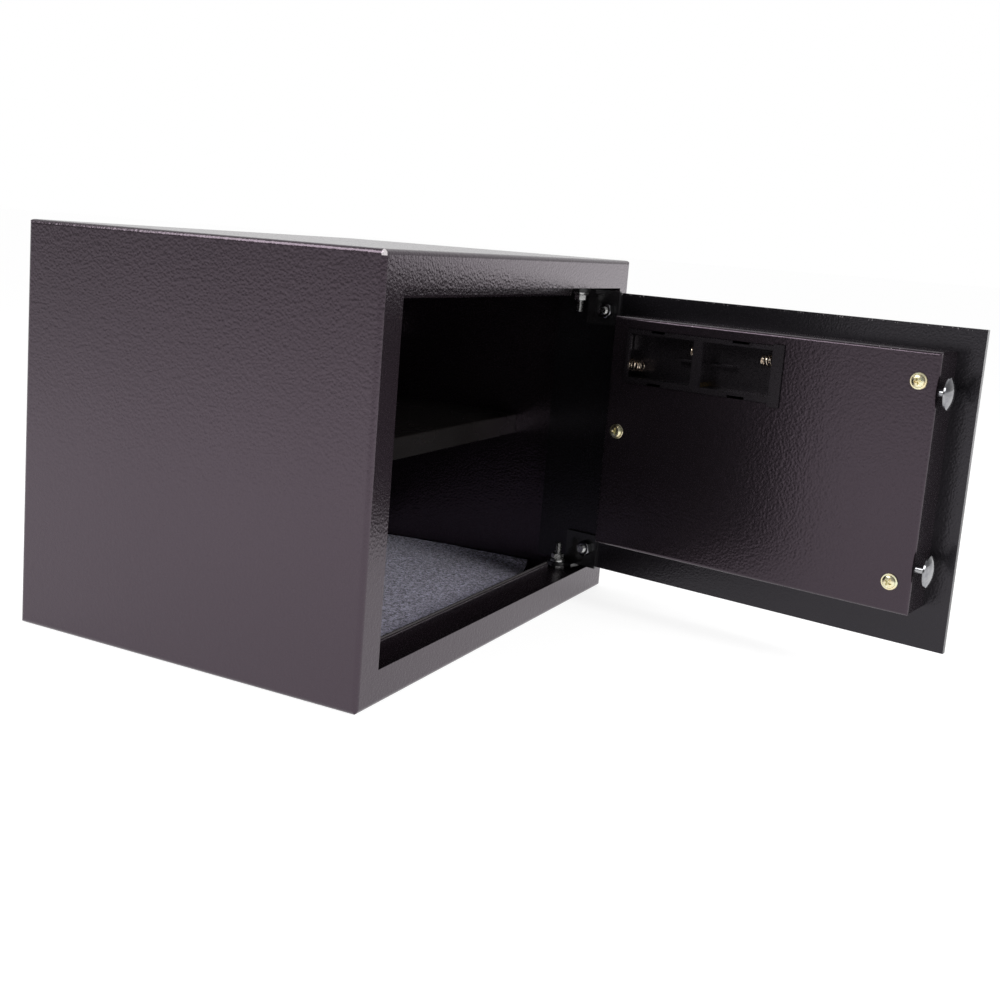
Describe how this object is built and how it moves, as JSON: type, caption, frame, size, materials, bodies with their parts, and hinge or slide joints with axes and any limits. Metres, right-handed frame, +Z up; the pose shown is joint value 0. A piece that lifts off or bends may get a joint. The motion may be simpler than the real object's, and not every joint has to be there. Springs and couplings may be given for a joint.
{
  "type": "in room safe",
  "caption": "Steel room safe with a side-hung door standing open, electronic keypad lock, mushroom locking bolts, shelf and felt mat.",
  "frame": {"origin": "centre of the cabinet's base, on the surface it stands on", "axes": "+Z up, front of the cabinet faces -Y, +X to the right seen from the front; the door stands open at rest"},
  "size_m": [0.35, 0.5117, 0.25],
  "materials": {
    "cabinet_paint": "fine textured powder coat, semi-gloss",
    "door_paint": "fine textured powder coat, semi-gloss",
    "plate_paint": "black enamel, semi-gloss",
    "shelf_paint": "smooth satin enamel",
    "felt": "mottled needle felt",
    "zinc_steel": "bright zinc",
    "bracket_paint": "gloss black",
    "yellow_zinc": "yellow passivated zinc",
    "chrome": "polished",
    "black_plastic": "fine moulded grain",
    "contact_plate": "nickel plate",
    "contact_spring": "copper-washed wire",
    "board": "green solder mask",
    "coil_tape": "wound tape",
    "lens": "clear coloured lens",
    "key_plastic": "soft grey moulded",
    "knob_plastic": "satin plated",
    "brass": "turned"
  },
  "bodies": {
    "cabinet": {"cabinet_shell": "cabinet_paint", "front_frame": "cabinet_paint", "back_panel": "cabinet_paint", "shelf": "shelf_paint", "shelf_supports": "shelf_paint", "floor_mat": "felt", "pivot_bolts": "zinc_steel", "pivot_washers": "zinc_steel", "pivot_nuts": "zinc_steel"},
    "door": {"door_plate": "plate_paint", "door_cover": "door_paint", "cover_posts": "zinc_steel", "cover_screws": "yellow_zinc", "hinge_bracket_lower": "bracket_paint", "hinge_bracket_upper": "bracket_paint", "bracket_studs": "zinc_steel", "bracket_nuts": "zinc_steel", "battery_tray": "black_plastic", "battery_plates": "contact_plate", "battery_springs": "contact_spring", "guide_posts": "zinc_steel", "guide_washers": "zinc_steel", "circuit_board": "board", "board_spacers": "zinc_steel", "solenoid_frame": "zinc_steel", "solenoid_coil": "coil_tape", "lock_housing": "black_plastic", "lamp_lenses": "lens", "key_barrel": "chrome"},
    "bolts": {"bolt_carriage": "zinc_steel", "locking_bolts": "chrome"},
    "knob": {"knob": "knob_plastic", "knob_shaft": "zinc_steel", "drive_disc": "zinc_steel"},
    "plunger": {"solenoid_plunger": "zinc_steel"},
    "lock_plug": {"key_plug": "brass", "key_cam": "zinc_steel"},
    "key_1_cap": {"key_1": "key_plastic"},
    "key_2_cap": {"key_2": "key_plastic"},
    "key_3_cap": {"key_3": "key_plastic"},
    "key_4_cap": {"key_4": "key_plastic"},
    "key_5_cap": {"key_5": "key_plastic"},
    "key_6_cap": {"key_6": "key_plastic"},
    "key_7_cap": {"key_7": "key_plastic"},
    "key_8_cap": {"key_8": "key_plastic"},
    "key_9_cap": {"key_9": "key_plastic"},
    "key_clear_cap": {"key_clear": "key_plastic"},
    "key_0_cap": {"key_0": "key_plastic"},
    "key_enter_cap": {"key_enter": "key_plastic"}
  },
  "joints": [
    {"name": "door_swing", "type": "hinge", "parent": "cabinet", "child": "door", "pos_m": [0.1293, -0.1068, 0.125], "axis": [0, 0, 1], "range_deg": [-80.5, 29.5]},
    {"name": "bolt_throw", "type": "slide", "parent": "door", "child": "bolts", "axis": [-0.165, -0.9863, 0], "range_m": [0, 0.01414]},
    {"name": "knob_turn", "type": "hinge", "parent": "door", "child": "knob", "pos_m": [0.11452, -0.30538, 0.1335], "axis": [0.9863, -0.165, 0], "range_deg": [0, 90]},
    {"name": "plunger_slide", "type": "slide", "parent": "door", "child": "plunger", "axis": [0.9863, -0.165, 0], "range_m": [0, 0.004], "stiffness_N_per_m": 60},
    {"name": "lock_turn", "type": "hinge", "parent": "door", "child": "lock_plug", "pos_m": [0.134, -0.189, 0.132], "axis": [0.9863, -0.165, 0], "range_deg": [0, 90]},
    {"name": "key_1_press", "type": "slide", "parent": "door", "child": "key_1_cap", "axis": [-0.9863, 0.165, 0], "range_m": [0, 0.0012], "stiffness_N_per_m": 250},
    {"name": "key_2_press", "type": "slide", "parent": "door", "child": "key_2_cap", "axis": [-0.9863, 0.165, 0], "range_m": [0, 0.0012], "stiffness_N_per_m": 250},
    {"name": "key_3_press", "type": "slide", "parent": "door", "child": "key_3_cap", "axis": [-0.9863, 0.165, 0], "range_m": [0, 0.0012], "stiffness_N_per_m": 250},
    {"name": "key_4_press", "type": "slide", "parent": "door", "child": "key_4_cap", "axis": [-0.9863, 0.165, 0], "range_m": [0, 0.0012], "stiffness_N_per_m": 250},
    {"name": "key_5_press", "type": "slide", "parent": "door", "child": "key_5_cap", "axis": [-0.9863, 0.165, 0], "range_m": [0, 0.0012], "stiffness_N_per_m": 250},
    {"name": "key_6_press", "type": "slide", "parent": "door", "child": "key_6_cap", "axis": [-0.9863, 0.165, 0], "range_m": [0, 0.0012], "stiffness_N_per_m": 250},
    {"name": "key_7_press", "type": "slide", "parent": "door", "child": "key_7_cap", "axis": [-0.9863, 0.165, 0], "range_m": [0, 0.0012], "stiffness_N_per_m": 250},
    {"name": "key_8_press", "type": "slide", "parent": "door", "child": "key_8_cap", "axis": [-0.9863, 0.165, 0], "range_m": [0, 0.0012], "stiffness_N_per_m": 250},
    {"name": "key_9_press", "type": "slide", "parent": "door", "child": "key_9_cap", "axis": [-0.9863, 0.165, 0], "range_m": [0, 0.0012], "stiffness_N_per_m": 250},
    {"name": "key_clear_press", "type": "slide", "parent": "door", "child": "key_clear_cap", "axis": [-0.9863, 0.165, 0], "range_m": [0, 0.0012], "stiffness_N_per_m": 250},
    {"name": "key_0_press", "type": "slide", "parent": "door", "child": "key_0_cap", "axis": [-0.9863, 0.165, 0], "range_m": [0, 0.0012], "stiffness_N_per_m": 250},
    {"name": "key_enter_press", "type": "slide", "parent": "door", "child": "key_enter_cap", "axis": [-0.9863, 0.165, 0], "range_m": [0, 0.0012], "stiffness_N_per_m": 250}
  ],
  "couplings": [
    {"joint": "knob_turn", "follows": "bolt_throw", "rad_per_m": 111}
  ]
}
